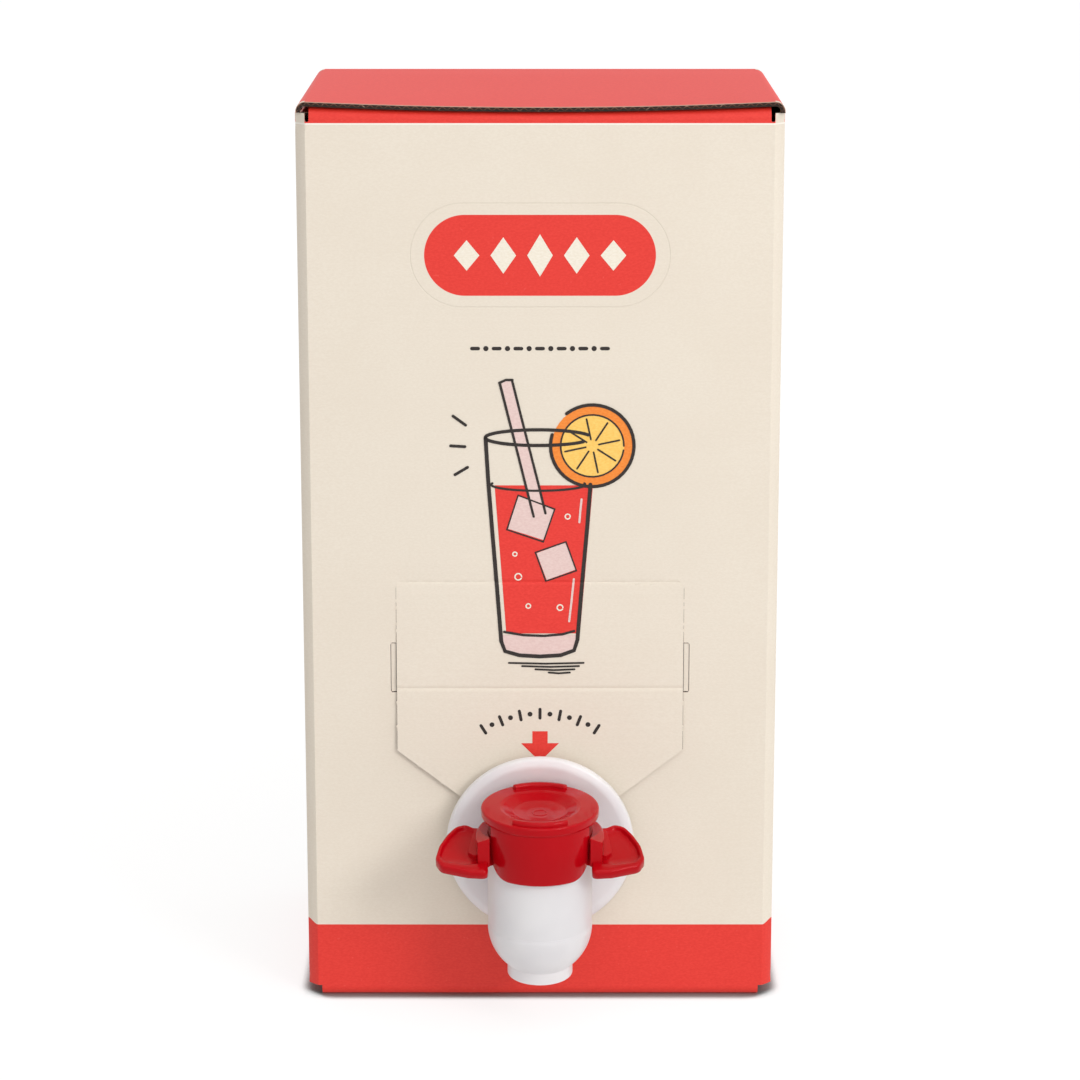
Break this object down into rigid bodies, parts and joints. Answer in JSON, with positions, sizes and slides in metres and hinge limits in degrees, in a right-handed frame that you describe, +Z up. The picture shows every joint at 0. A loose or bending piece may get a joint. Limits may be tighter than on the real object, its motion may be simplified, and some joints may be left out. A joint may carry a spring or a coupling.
{
  "type": "cocktail box with tap",
  "caption": "Upright corrugated drinks carton holding a sealed bag, with a red press-button tap on a white collar near the base of its front.",
  "frame": {"origin": "middle of the carton's base, on the surface that it stands on", "axes": "+Z up the carton's height, -Y out of the front panel that carries the tap, +X to the right of someone who faces the tap"},
  "size_m": [0.114, 0.1135, 0.22],
  "materials": {
    "printed_board": "matt printed",
    "bag_film": "silvery film",
    "gland_plastic": "satin moulded",
    "tap_plastic": "satin moulded",
    "wing_plastic": "satin moulded",
    "button_plastic": "satin moulded",
    "dome_elastomer": "matt moulded",
    "stem_plastic": "satin moulded",
    "seal_elastomer": "matt moulded"
  },
  "bodies": {
    "carton": {"carton": "printed_board", "filled_bag": "bag_film", "spout_gland": "gland_plastic"},
    "tap": {"tap_body": "tap_plastic", "finger_wings": "wing_plastic", "return_dome": "dome_elastomer"},
    "button": {"push_button": "button_plastic", "valve_stem": "stem_plastic", "valve_seal": "seal_elastomer"}
  },
  "joints": [
    {"name": "tap_swivel", "type": "hinge", "parent": "carton", "child": "tap", "pos_m": [0, -0.039, 0.041], "axis": [0, -0.9962, -0.0872], "continuous": true},
    {"name": "button_press", "type": "slide", "parent": "tap", "child": "button", "axis": [0, 0.0872, -0.9962], "range_m": [0, 0.004], "stiffness_N_per_m": 2500, "springref_m": -0.001, "deforming": ["return_dome"]}
  ]
}
